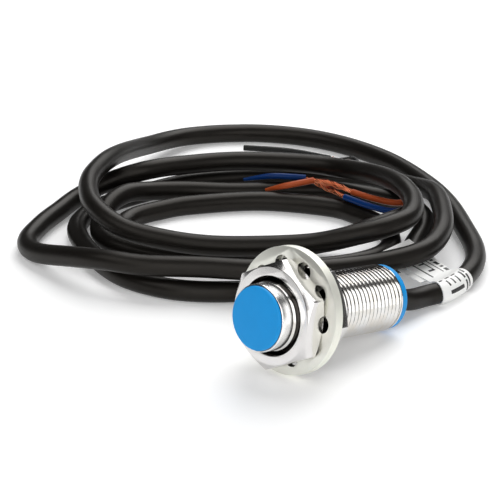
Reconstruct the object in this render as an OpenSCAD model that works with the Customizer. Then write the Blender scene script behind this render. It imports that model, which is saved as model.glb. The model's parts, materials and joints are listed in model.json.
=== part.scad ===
// Inductive proximity sensor: M12 threaded barrel with two nuts, two lock washers and a coiled cable.
// Sensor axis: front (sensing face) toward -Y, lying nose-up on the washer rims and the rear plug.
// Millimetres. Z is up and the floor is z = 0.

/* [Barrel] */
// outside diameter of the metric thread
thread_d = 12; // [11.8:0.1:12.4]
// length of the metal barrel
barrel_l = 31.4; // [29:0.1:40]
// wall of the barrel
barrel_wall = 1; // [0.8:0.1:1.2]
// plain land in front of the thread
land_l = 2.5; // [2:0.1:3]
// how far the land is turned down below the thread, on the radius
land_drop = 0.2; // [0.16:0.02:0.3]
// pitch of the thread
thread_pitch = 1; // [0.9:0.05:1.1]
// corner taken off both ends of the barrel
barrel_chamfer = 0.3; // [0.2:0.05:0.4]
// plain band behind the thread
band_l = 0.6; // [0.4:0.1:1]

/* [Sensing face] */
// how far the blue cap stands out of the barrel
cap_proud = 0.6; // [0.4:0.1:1]
// corner taken off the front of the cap
cap_round = 0.4; // [0.2:0.05:0.4]
// thickness of the front wall of the cap
cap_wall = 1.2; // [1:0.1:1.6]

/* [Nuts] */
// width across flats of both nuts
nut_af = 17; // [16:0.5:18]
// thickness of each nut
nut_t = 4; // [3.5:0.1:4.5]
// front face of the front nut, measured from the front of the barrel
nut_at = 3.1; // [3:0.1:4]
// clearance of the nut bore over the thread, on the radius
nut_clear = 0.05; // [0.03:0.01:0.08]
// depth of the chamfer that turns the corners off
nut_chamfer = 0.9; // [0.7:0.1:1]
// width and depth of the countersink at each end of the bore
countersink_w = 0.85; // [0.6:0.05:0.9]
countersink_t = 1; // [0.6:0.1:1.2]

/* [Lock washers] */
// outside diameter of the washers
washer_d = 22.2; // [21:0.1:23]
// thickness of each washer
washer_t = 0.9; // [0.8:0.05:1.2]
// number of inward teeth
tooth_count = 10; // [8:1:10]
// width of each tooth
tooth_w = 1.8; // [1.6:0.1:2]
// width of the closed rim outside the teeth
rim_w = 1.5; // [1.3:0.1:1.8]
// twist of each tooth out of the washer plane
tooth_twist = 11; // [8:1:12]
// how far the loose washers ride above the barrel axis
washer_sag = 0.45; // [0.3:0.05:0.5]

/* [Rear plug] */
// flange of the blue rear plug
plug_d = 11.8; // [11.5:0.1:11.9]
// thickness of the flange behind the barrel
plug_t = 1; // [0.8:0.1:1.6]
// corner taken off the rear edge of the flange
plug_round = 0.3; // [0.2:0.05:0.4]

/* [Cable] */
// outside diameter of the cable jacket
cable_d = 4; // [4:0.1:4.4]
// outside diameter of one insulated core
core_d = 1.3; // [1.2:0.05:1.4]
// outside diameter of the bare strand bundle
strand_d = 0.9; // [0.7:0.05:1]

/* [Hidden] */
$fn = 96;

thread_r = thread_d / 2;
bore_r = thread_r - barrel_wall;
fit_gap = 0.05;
land_r = thread_r - land_drop;
thread_from = land_l + land_drop;
thread_turns = floor((barrel_l - band_l - thread_from) / thread_pitch);
groove_r = thread_r - 0.54 * thread_pitch;
cap_r = land_r - barrel_chamfer;
skirt_r = bore_r - fit_gap;
skirt_l = 5;
skirt_wall = 0.6;
pot_r = skirt_r - skirt_wall - fit_gap;
pot_l = 3.4;
pot_end = cap_wall - cap_proud + pot_l;
pot_wall = 0.8;
post_r = 1.5;
bobbin_gap = 0.1;
bobbin_wall = 0.3;
winding_r = post_r + bobbin_gap + bobbin_wall + fit_gap;
coil_wire_r = 0.2;
board_from = 6;
board_to = barrel_l - 7.4;
board_w = 8;
board_t = 1;
inner_lead_r = 0.35;
tail_from = board_to + 1;
collar_wall = 0.9;
plug_l = 3;
cable_r = cable_d / 2;
core_r = core_d / 2;
strand_r = strand_d / 2;
plug_r = plug_d / 2;
plug_end = barrel_l + plug_t;
washer_r = washer_d / 2;
washer_at = nut_at + nut_t;
washer_end = washer_at + 2 * washer_t;
tooth_tip = thread_r + washer_sag + 2 * fit_gap;
front_washer_turn = 17;
rear_washer_turn = 22;
nut_corner = nut_af / 2 / cos(30);
nut_face_r = nut_af / 2 - 0.1;
front_nut_turn = 30;
label_gap = 0.06;
label_t = 0.16;

// the sensor lies on the rear washer's rim and on the plug's edge
lie_angle = atan((washer_r - washer_sag - plug_r) / (plug_end - plug_round - washer_end));
lie_z = washer_end * sin(lie_angle) + (washer_r - washer_sag) * cos(lie_angle);
front_y = -cap_proud * cos(lie_angle) - (cap_r - cap_round) * sin(lie_angle);
rear_y = plug_end * cos(lie_angle) + (plug_r - plug_round) * sin(lie_angle);
lie_y = -(front_y + rear_y) / 2;
axis = [0, cos(lie_angle), -sin(lie_angle)];
exit = [0, lie_y, lie_z] + plug_end * axis;

// cable route from the plug: x and z from the floor frame, y from the cable exit, for a 4 mm jacket
route_scale = cable_d / 4;
function on_floor(p) = [route_scale * p[0], exit[1] + route_scale * p[1], route_scale * p[2]];

lead_stations = [[1.5, 10, 2.8], [2, 18, 2.4], [-1, 27, 2.3], [-6.5, 35, 2]];
join_dir = [-0.74, 0.67, 0] / norm([-0.74, 0.67, 0]);
coil_stations = [
    [-6.5, 35, 2], [-16, 43, 2], [-25.5, 50, 2], [-36, 55.5, 2], [-50, 60, 2], [-64, 60.5, 2], [-76, 57, 2],
    [-86, 49.5, 2], [-91.5, 39, 2.5], [-89.5, 26, 4.5], [-80.5, 8, 9.2], [-74, -3.5, 10.2], [-68, -10, 10],
    [-61, -14, 9.3], [-52.5, -14.5, 7.8], [-44.5, -11, 6.8], [-37, -6.5, 6.5], [-29, -0.5, 7], [-21.5, 5.5, 8],
    [-16, 10.5, 9.8], [-12.5, 16, 11], [-12.8, 22.5, 11.1], [-17.5, 29, 11.1], [-24.5, 33.5, 11.1],
    [-34, 37.5, 9.5], [-46, 40, 7], [-54.5, 37.5, 6.5], [-65, 29, 6.5], [-71.3, 19.8, 6.5], [-74.2, 11.4, 6.8],
    [-79, 5.4, 4.7], [-81.2, -1.3, 2.6], [-79, -9, 2], [-75.6, -16.9, 2], [-71.2, -23.4, 2], [-65, -25.9, 2.5],
    [-54.4, -26.1, 5], [-46.4, -25.1, 6.5], [-39.4, -21.6, 6.5], [-31.5, -15, 6.5], [-23, -8.5, 6.5],
    [-14.5, 0, 6.5], [-9.5, 9, 6.5], [-7, 19, 6.5], [-9.3, 27.2, 6.5], [-14.8, 35.2, 6.5], [-25.3, 45.2, 5.8],
    [-36, 50.5, 3], [-46, 50.5, 2], [-53, 46, 2], [-59, 39.5, 2], [-66.5, 30, 2], [-71.8, 21, 2],
    [-74, 11.8, 2], [-75, 3, 2], [-74, -5, 2], [-69.8, -11.8, 2], [-62.1, -16.6, 2], [-54, -19.5, 2],
    [-46.5, -21, 2], [-39, -20, 2], [-32.5, -17, 2], [-26, -11, 2], [-20.2, -2.7, 2], [-16.8, 6, 2],
    [-14.2, 14.6, 2], [-13.6, 22.3, 2], [-17.2, 29.6, 2], [-20.1, 35.5, 2], [-23.4, 40, 2], [-28, 43, 2],
    [-33, 43.8, 2], [-38.5, 42.5, 2], [-46, 39.5, 2], [-52.5, 34, 2], [-61, 23.5, 2.2], [-67.5, 15.5, 3],
    [-70.5, 8.5, 4], [-71, 2.5, 5], [-70, -3, 4.5], [-67.6, -7.3, 3.1], [-64, -10.5, 2], [-58, -12, 2],
    [-50, -10, 2], [-41.5, -5.5, 2], [-33, 0.5, 2], [-23.8, 6.3, 2], [-19.5, 13, 2], [-18, 19.3, 2],
    [-19.4, 24.8, 2], [-23.2, 29, 2], [-28.5, 31.8, 2], [-35, 32.5, 2], [-42, 31.5, 2], [-54, 24, 2],
    [-62.5, 12.5, 2], [-65, 6, 2], [-66, 0, 2], [-64.4, -4.3, 2], [-60.5, -7, 2], [-55.5, -7, 2],
    [-50.5, -4.3, 2], [-43, 1, 2], [-36.3, 7, 2], [-31.3, 13.3, 2.2], [-26.3, 18.3, 3.7], [-22.3, 22.4, 5.8],
    [-20.6, 27.3, 6.5], [-20.4, 32.3, 6.5]];
tab_end = [[-15.1, 16.7, 4.6], [-15.4, 25.7, 4.6]];
brown_stations = [[-22.9, 35.8, 7.3], [-27, 35, 6.1], [-32, 34.5, 5.7], [-37.7, 34.1, 5.7]];
brown_bare = [[-42.5, 34, 6.1]];
brown_slug = [[-47, 32.7, 6.1], [-50.6, 27.9, 5.2], [-54.8, 26.6, 3.5]];
blue_stations = [[-23.8, 34, 5.6], [-26.8, 32.8, 5.1], [-31.9, 32.4, 4.9], [-38.3, 32.5, 4.9]];
blue_bare = [[-43, 33.4, 5], [-47, 34.4, 4.8]];
blue_slug = [[-51.5, 35, 4.8], [-56.3, 30, 5.2], [-61.6, 27, 3.8]];
black_stations = [[-22.2, 37, 5.3], [-27, 40, 4.9], [-33, 42.5, 4.9], [-39.5, 45, 4.7], [-45.5, 46.5, 4.9],
                  [-51, 49.5, 5], [-56, 53.3, 2.6], [-60, 54.6, 0.9]];
black_bare = [[-61, 54.5, 0.9]];
black_slug = [[-62.5, 54.5, 0.9], [-72, 51.5, 0.9], [-80.5, 46, 0.9]];

// smooth curve through the stations, a given number of steps per span
function spline_at(a, b, c, d, t) =
    0.5 * (2 * b + (c - a) * t + (2 * a - 5 * b + 4 * c - d) * t * t + (3 * b - a - 3 * c + d) * t * t * t);
function lifted(p, low) = [p[0], p[1], max(p[2], low)];
function smooth(p, steps, low) =
    let (n = len(p), q = concat([2 * p[0] - p[1]], p, [2 * p[n - 1] - p[n - 2]]))
    concat([for (i = [0 : n - 2]) for (k = [0 : steps - 1])
                lifted(spline_at(q[i], q[i + 1], q[i + 2], q[i + 3], k / steps), low)], [p[n - 1]]);
function unit(v) = v / norm(v);
function heading(c, i, first, last) =
    i == 0 ? first : i == len(c) - 1 ? last : unit(c[i + 1] - c[i - 1]);
function ring(c, t, r, sides) =
    let (side = unit(cross(t, [0, 0, 1])), up = cross(side, t))
    [for (k = [0 : sides - 1]) c + r * (sin(360 * k / sides) * side - cos(360 * k / sides) * up)];
function start_of(c) = unit(c[1] - c[0]);
function end_of(c) = unit(c[len(c) - 1] - c[len(c) - 2]);

lead_route = concat([exit, exit + cable_d * axis], [for (p = lead_stations) on_floor(p)]);
lead_curve = smooth(lead_route, 6, cable_r);
coil_curve = smooth([for (p = coil_stations) on_floor(p)], 2, cable_r);
jacket_end = coil_curve[len(coil_curve) - 1];
jacket_dir = end_of(coil_curve);
jacket_side = unit(cross(jacket_dir, [0, 0, 1]));
core_seat = 0.5 * cable_r;
function core_route(p, turn) =
    let (off = core_seat * (cos(turn) * jacket_side + sin(turn) * [0, 0, 1]))
    concat([jacket_end + off, jacket_end + off + core_d * jacket_dir], [for (q = p) on_floor(q)]);
brown_curve = smooth(core_route(brown_stations, 60), 3, core_r);
blue_curve = smooth(core_route(blue_stations, 180), 3, core_r);
black_curve = smooth(core_route(black_stations, 300), 3, core_r);

whole_curve = concat(lead_curve, [for (i = [1 : len(coil_curve) - 1]) coil_curve[i]]);
self_gap = min([for (i = [0 : len(whole_curve) - 6]) for (j = [i + 5 : len(whole_curve) - 1])
                    norm(whole_curve[i] - whole_curve[j])]) - cable_d;
echo("least gap between turns of the cable, mm", self_gap);
spans = [for (i = [0 : len(whole_curve) - 2]) norm(whole_curve[i + 1] - whole_curve[i])];
cable_length = spans * [for (s = spans) 1];
echo("cable length along its centre, mm", cable_length);

// places a sensor-frame body on the floor
module lie() {
    translate([0, lie_y, lie_z]) rotate([-lie_angle, 0, 0]) children();
}

// turns a profile of [radius, distance behind the barrel front] round the sensor axis
module turned(profile) {
    rotate([-90, 0, 0]) rotate_extrude() polygon(profile);
}

module tube_along(curve, r, sides, first, last) {
    n = len(curve);
    points = [for (i = [0 : n - 1]) each ring(curve[i], heading(curve, i, first, last), r, sides)];
    walls = [for (i = [0 : n - 2]) for (k = [0 : sides - 1])
                let (a = i * sides + k, b = i * sides + (k + 1) % sides)
                each [[a, b, a + sides], [b, b + sides, a + sides]]];
    caps = [[for (k = [sides - 1 : -1 : 0]) k], [for (k = [0 : sides - 1]) (n - 1) * sides + k]];
    polyhedron(points, concat(walls, caps), convexity = 10);
}

module sleeve_along(curve, r_in, r_out, sides) {
    n = len(curve);
    first = start_of(curve);
    last = end_of(curve);
    outer = [for (i = [0 : n - 1]) each ring(curve[i], heading(curve, i, first, last), r_out, sides)];
    inner = [for (i = [0 : n - 1]) each ring(curve[i], heading(curve, i, first, last), r_in, sides)];
    m = n * sides;
    walls = [for (i = [0 : n - 2]) for (k = [0 : sides - 1])
                let (a = i * sides + k, b = i * sides + (k + 1) % sides)
                each [[a, b, a + sides], [b, b + sides, a + sides],
                      [m + a, m + a + sides, m + b], [m + b, m + a + sides, m + b + sides]]];
    rims = [for (k = [0 : sides - 1])
                let (a = k, b = (k + 1) % sides, e = (n - 1) * sides)
                each [[a, m + a, b], [b, m + a, m + b],
                      [e + a, e + b, m + e + a], [e + b, m + e + b, m + e + a]]];
    polyhedron(concat(outer, inner), concat(walls, rims), convexity = 10);
}

// the thread's rings: flanks of 5/16 pitch, a root flat of 1/4 and a crest flat of 1/8
function thread_ring(s) =
    [[thread_r, s], [groove_r, s + 5 / 16 * thread_pitch], [groove_r, s + 9 / 16 * thread_pitch],
     [thread_r, s + 7 / 8 * thread_pitch]];

module barrel() {
    rings = [for (i = [0 : thread_turns - 1]) each thread_ring(thread_from + i * thread_pitch)];
    front = [[bore_r, 0], [land_r - barrel_chamfer, 0], [land_r, barrel_chamfer], [land_r, land_l]];
    rear = [[thread_r, barrel_l - barrel_chamfer], [thread_r - barrel_chamfer, barrel_l], [bore_r, barrel_l]];
    color("silver") lie() turned(concat(front, rings, rear));
}

module face_cap() {
    inside = cap_wall - cap_proud;
    color("dodgerblue") lie() turned([
        [0, -cap_proud], [cap_r - cap_round, -cap_proud], [cap_r, cap_round - cap_proud], [cap_r, 0],
        [skirt_r, 0], [skirt_r, skirt_l], [skirt_r - skirt_wall, skirt_l], [skirt_r - skirt_wall, inside],
        [0, inside]]);
}

module ferrite_core() {
    at = cap_wall - cap_proud + 2 * fit_gap;
    floor_at = pot_end - pot_wall;
    inner = pot_r - pot_wall;
    color("dimgray") lie() turned([
        [0, at], [post_r, at], [post_r, floor_at], [inner, floor_at], [inner, at],
        [pot_r, at], [pot_r, pot_end], [0, pot_end]]);
}

module coil_bobbin() {
    at = cap_wall - cap_proud + bobbin_wall;
    to = pot_end - pot_wall - bobbin_gap;
    flange = pot_r - pot_wall - bobbin_gap;
    hole = post_r + bobbin_gap;
    hub = hole + bobbin_wall;
    color("ivory") lie() turned([
        [hole, at], [flange, at], [flange, at + bobbin_wall], [hub, at + bobbin_wall], [hub, to - bobbin_wall],
        [flange, to - bobbin_wall], [flange, to], [hole, to]]);
}

module sensing_coil() {
    at = cap_wall - cap_proud + 2 * bobbin_wall + fit_gap;
    to = pot_end - pot_wall - bobbin_gap - bobbin_wall - fit_gap;
    outer = pot_r - pot_wall - 2 * bobbin_gap;
    color("peru") lie() turned([[winding_r, at], [outer, at], [outer, to], [winding_r, to]]);
}

module coil_leads() {
    color("peru") lie()
        for (x = [-1.2, 1.2])
            translate([x, pot_end, 0]) rotate([-90, 0, 0]) cylinder(h = board_from - pot_end, r = coil_wire_r);
}

module circuit_board() {
    color("seagreen") lie()
        translate([-board_w / 2, board_from, -board_t / 2]) cube([board_w, board_to - board_from, board_t]);
}

// a chip on the top face of the board
module chip(x, s, w, l, h) {
    translate([x - w / 2, s, board_t / 2]) cube([w, l, h]);
}

module oscillator_ic() {
    color("black") lie() chip(0, board_from + 2, 4, 4, 1.2);
}

module output_transistor() {
    color("black") lie() chip(-1.5, board_from + 8.5, 1.4, 3, 1.1);
}

module chip_capacitors() {
    color("tan") lie() {
        chip(1.6, board_from + 8, 1.25, 2, 0.9);
        chip(1.6, board_from + 11, 1.25, 2, 0.9);
    }
}

module chip_resistors() {
    color("black") lie() mirror([0, 0, 1])
        for (s = [3, 6, 9])
            chip(s == 6 ? 1.5 : -1.5, board_from + s, 0.8, 1.6, 0.45);
}

module indicator_led() {
    color("gold") lie() chip(2.6, board_to - 2.5, 0.8, 1.6, 0.7);
}

// an inner lead runs from its pad on the board to the end of the cable
module inner_lead(x) {
    pad_l = 2;
    lie() translate([x, board_to - pad_l, board_t / 2 + inner_lead_r + fit_gap]) rotate([-90, 0, 0])
        cylinder(h = tail_from - board_to + pad_l, r = inner_lead_r);
}

module inner_lead_brown() {
    color("saddlebrown") inner_lead(-1.1);
}

module inner_lead_blue() {
    color("blue") inner_lead(0);
}

module inner_lead_black() {
    color("black") inner_lead(1.1);
}

module strain_collar() {
    at = tail_from + 0.6;
    to = barrel_l - plug_l;
    inner = cable_r + fit_gap;
    outer = cable_r + collar_wall;
    color("gray") lie() turned([[inner, at], [outer, at], [outer, to], [inner, to]]);
}

module rear_plug() {
    at = barrel_l - plug_l;
    color("dodgerblue") lie() turned([
        [cable_r + fit_gap, at], [skirt_r, at], [skirt_r, barrel_l], [plug_r, barrel_l],
        [plug_r, plug_end - plug_round], [plug_r - plug_round, plug_end], [cable_r + fit_gap, plug_end]]);
}

module cable_tail() {
    color("#222222") lie() translate([0, tail_from, 0]) rotate([-90, 0, 0])
        cylinder(h = plug_end - tail_from, r = cable_r);
}

// hexagon nut with its corners turned off on both faces and a countersunk bore
module nut(at, turn) {
    bore = thread_r + nut_clear;
    lie() translate([0, at, 0]) difference() {
        intersection() {
            rotate([-90, 0, 0]) rotate([0, 0, turn]) cylinder(h = nut_t, r = nut_corner, $fn = 6);
            turned([[0, 0], [nut_face_r, 0], [nut_corner + 0.1, nut_chamfer],
                    [nut_corner + 0.1, nut_t - nut_chamfer], [nut_face_r, nut_t], [0, nut_t]]);
        }
        turned([[0, -countersink_t], [bore + 2 * countersink_w, -countersink_t], [bore, countersink_t],
                [bore, nut_t - countersink_t], [bore + 2 * countersink_w, nut_t + countersink_t],
                [0, nut_t + countersink_t]]);
    }
}

module front_nut() {
    color("gainsboro") nut(nut_at, front_nut_turn);
}

module rear_nut() {
    color("gainsboro") nut(washer_end, 0);
}

// lock washer: a scalloped rim with inward teeth, each twisted about its own radius
module washer(at, turn) {
    pitch = 360 / tooth_count;
    slot_r = (PI * (washer_r - rim_w) / tooth_count - tooth_w / 2) / (1 + PI / tooth_count);
    root_r = washer_r - rim_w - slot_r;
    tooth_t = washer_t * cos(tooth_twist) - tooth_w * sin(tooth_twist);
    tooth_l = root_r - tooth_tip + slot_r / 4;
    lie() translate([0, at, washer_sag]) rotate([-90, 0, 0]) rotate([0, 0, turn]) {
        difference() {
            cylinder(h = washer_t, r = washer_r);
            translate([0, 0, -1]) cylinder(h = washer_t + 2, r = root_r);
            for (i = [0 : tooth_count - 1])
                rotate([0, 0, (i + 0.5) * pitch]) translate([root_r, 0, -1])
                    cylinder(h = washer_t + 2, r = slot_r);
        }
        for (i = [0 : tooth_count - 1])
            rotate([0, 0, i * pitch]) translate([tooth_tip, 0, washer_t / 2]) rotate([tooth_twist, 0, 0])
                translate([0, -tooth_w / 2, -tooth_t / 2]) cube([tooth_l, tooth_w, tooth_t]);
    }
}

module front_washer() {
    color("lightgray") washer(washer_at, front_washer_turn);
}

module rear_washer() {
    color("lightgray") washer(washer_at + washer_t, rear_washer_turn);
}

module cable_lead() {
    color("#222222") tube_along(lead_curve, cable_r, 12, axis, join_dir);
}

module cable_coil() {
    color("#222222") tube_along(coil_curve, cable_r, 8, join_dir, jacket_dir);
}

// flag label: a wrap round the lead and a tab that runs from a seam on the wrap up under the next turn
module cable_label() {
    sides = 12;
    seam_corner = 8;
    wrap = [for (i = [15 : 21]) lead_curve[i]];
    n = len(wrap);
    film_r = cable_r + label_gap + label_t / 2;
    half = [0, 0, label_t / 2];
    seam = [for (i = [0 : n - 1])
                ring(wrap[i], heading(wrap, i, start_of(wrap), end_of(wrap)), film_r, sides)[seam_corner]];
    edge = [for (i = [0 : n - 1]) on_floor(tab_end[0] + i / (n - 1) * (tab_end[1] - tab_end[0]))];
    sheet = concat(seam, edge);
    strips = [for (i = [0 : n - 2])
                let (a = i, b = i + 1, c = n + i, d = n + i + 1, up = 2 * n)
                each [[a, d, c], [a, b, d], [up + a, up + c, up + d], [up + a, up + d, up + b],
                      [c, d, up + d], [c, up + d, up + c], [b, a, up + a], [b, up + a, up + b]]];
    ends = [for (e = [[0, n], [2 * n - 1, n - 1]])
                each [[e[0], e[1], e[1] + 2 * n], [e[0], e[1] + 2 * n, e[0] + 2 * n]]];
    color("white") {
        sleeve_along(wrap, cable_r + label_gap, cable_r + label_gap + label_t, sides);
        polyhedron(concat([for (p = sheet) p - half], [for (p = sheet) p + half]), concat(strips, ends));
    }
}

module core_brown() {
    color("saddlebrown") tube_along(brown_curve, core_r, 8, jacket_dir, end_of(brown_curve));
}

module core_blue() {
    color("blue") tube_along(blue_curve, core_r, 8, jacket_dir, end_of(blue_curve));
}

module core_black() {
    color("black") tube_along(black_curve, core_r, 8, jacket_dir, end_of(black_curve));
}

function slug_curve(route) = smooth([for (p = route) on_floor(p)], 3, core_r);

// bare strands run from the end face of their core to the loose slug of insulation at the tip
module strands(core, bare, tip) {
    ends = slug_curve(tip);
    c = smooth(concat([core[len(core) - 1]], [for (p = bare) on_floor(p)], [ends[0]]), 3, strand_r);
    color("peru") tube_along(c, strand_r, 8, end_of(core), start_of(ends));
}

module strands_brown() {
    strands(brown_curve, brown_bare, brown_slug);
}

module strands_blue() {
    strands(blue_curve, blue_bare, blue_slug);
}

module strands_black() {
    strands(black_curve, black_bare, black_slug);
}

module slug(route) {
    c = slug_curve(route);
    tube_along(c, core_r, 8, start_of(c), end_of(c));
}

module slug_brown() {
    color("sienna") slug(brown_slug);
}

module slug_blue() {
    color("blue") slug(blue_slug);
}

module slug_black() {
    color("black") slug(black_slug);
}

barrel();
face_cap();
ferrite_core();
coil_bobbin();
sensing_coil();
coil_leads();
circuit_board();
oscillator_ic();
output_transistor();
chip_capacitors();
chip_resistors();
indicator_led();
inner_lead_brown();
inner_lead_blue();
inner_lead_black();
strain_collar();
rear_plug();
cable_tail();
front_nut();
rear_nut();
front_washer();
rear_washer();
cable_lead();
cable_coil();
cable_label();
core_brown();
core_blue();
core_black();
strands_brown();
strands_blue();
strands_black();
slug_brown();
slug_blue();
slug_black();
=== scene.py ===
"""Looks of a threaded proximity sensor with jam nuts, lock washers and a coiled cable."""

import json
import logging
import math
from dataclasses import dataclass
from enum import Enum
from typing import Iterable, Optional, Sequence

import bmesh
import bpy
from mathutils import Euler, Matrix, Vector


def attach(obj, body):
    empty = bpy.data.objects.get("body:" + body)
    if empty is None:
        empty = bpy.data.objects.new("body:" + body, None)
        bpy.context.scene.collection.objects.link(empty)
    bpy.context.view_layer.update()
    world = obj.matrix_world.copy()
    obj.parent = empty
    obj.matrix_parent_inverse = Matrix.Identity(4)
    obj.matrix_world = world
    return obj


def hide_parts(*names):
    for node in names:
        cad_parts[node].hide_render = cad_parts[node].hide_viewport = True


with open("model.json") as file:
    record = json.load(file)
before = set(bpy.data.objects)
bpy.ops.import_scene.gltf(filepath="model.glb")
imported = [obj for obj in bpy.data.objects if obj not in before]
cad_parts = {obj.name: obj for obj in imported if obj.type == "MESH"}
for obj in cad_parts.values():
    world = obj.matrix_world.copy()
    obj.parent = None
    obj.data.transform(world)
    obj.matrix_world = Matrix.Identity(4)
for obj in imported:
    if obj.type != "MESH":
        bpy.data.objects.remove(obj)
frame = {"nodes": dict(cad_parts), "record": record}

LOG = logging.getLogger("sensor_scene")
MM = 0.001
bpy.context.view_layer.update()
UP = Vector((0.0, 0.0, 1.0))
WELD = 0.0005 * MM
ROUND_STEPS = 96
SPAN_STEPS = 12
RING_SCALE = 0.314
NOISE_ROUGH = 0.6
Colour = tuple[float, float, float]
Line = Sequence[Vector]
Piece = bpy.types.Object
Profile = Sequence[tuple[float, float]]
Shape = bmesh.types.BMesh
Socket = bpy.types.NodeSocket


class Body(Enum):
    """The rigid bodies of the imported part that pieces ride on."""

    SENSOR = "sensor"
    FRONT_NUT = "front_nut"
    REAR_NUT = "rear_nut"
    FRONT_WASHER = "front_washer"
    REAR_WASHER = "rear_washer"


class CoreColour(Enum):
    """The three cores of the cable."""

    BROWN = "brown"
    BLUE = "blue"
    BLACK = "black"


def square_frame(place: Vector, first: Vector, second: Vector) -> Matrix:
    """Right-handed frame at a place, from its x and y directions."""
    turned = Matrix((first, second, first.cross(second))).transposed()
    return Matrix.Translation(place) @ turned.to_4x4()


@dataclass(frozen=True)
class SensorFrame:
    """Place of the sensor: x to the side, y along the barrel from its front, z away from the floor."""

    front: Vector
    axis: Vector

    @classmethod
    def from_record(cls, record: dict, land_at: float) -> "SensorFrame":
        """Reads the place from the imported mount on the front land.

        Args:
            record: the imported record.
            land_at: distance of the mount's point behind the barrel's front.

        Returns:
            The sensor's frame.
        """
        land = next(mount for mount in record["mounts"] if mount["name"] == "front_land")
        axis = -Vector(land["axis"]).normalized()
        return cls(Vector(land["pos_m"]) - land_at * axis, axis)

    @property
    def matrix(self) -> Matrix:
        """Matrix from the sensor's own frame to the row frame."""
        return square_frame(self.front, self.axis.cross(UP).normalized(), self.axis)

    def at(self, distance: float) -> Vector:
        """Point on the axis at a distance behind the barrel's front."""
        return self.front + distance * self.axis


LAND_MOUNT_AT = 1.4 * MM
BARREL_L = 31.4 * MM
PLUG_END = 32.4 * MM
SENSOR = SensorFrame.from_record(frame["record"], LAND_MOUNT_AT)


def front_of(node: str) -> float:
    """Distance behind the barrel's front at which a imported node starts."""
    inverse = SENSOR.matrix.inverted()
    return min((inverse @ vert.co).y for vert in frame["nodes"][node].data.vertices)


NUT_FACE = front_of("front_nut")
REAR_NUT_FACE = front_of("rear_nut")


class Nodes:
    """Short calls that add nodes to one tree."""

    def __init__(self, tree: bpy.types.NodeTree) -> None:
        """Keeps the node tree of a material or of the world."""
        self.tree = tree

    def node(self, kind: str, inputs: Optional[dict] = None, **fields: object) -> bpy.types.Node:
        """Adds a node.

        Args:
            kind: the node's type name.
            inputs: values or sockets for its inputs, by name or index.
            fields: settings of the node.

        Returns:
            The new node.
        """
        node = self.tree.nodes.new(kind)
        for name, value in fields.items():
            setattr(node, name, value)
        for name, value in (inputs or {}).items():
            if isinstance(value, Socket):
                self.tree.links.new(value, node.inputs[name])
            else:
                node.inputs[name].default_value = value
        return node

    def span(self, value: Socket, low: object, high: float, start: float = 0.0, end: float = 1.0,
             **fields: object) -> Socket:
        """Maps a value from start..end to low..high, with the node's settings as fields."""
        limits = {"Value": value, "From Min": start, "From Max": end, "To Min": low, "To Max": high}
        return self.node("ShaderNodeMapRange", limits, **fields).outputs[0]

    def math(self, kind: str, *values: object) -> Socket:
        """One step of arithmetic between values or sockets."""
        return self.node("ShaderNodeMath", dict(enumerate(values)), operation=kind).outputs[0]

    def dot(self, first: Socket, second: Vector) -> Socket:
        """Dot product of a direction with a fixed one."""
        inputs = {0: first, 1: second}
        return self.node("ShaderNodeVectorMath", inputs, operation="DOT_PRODUCT").outputs["Value"]


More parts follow.
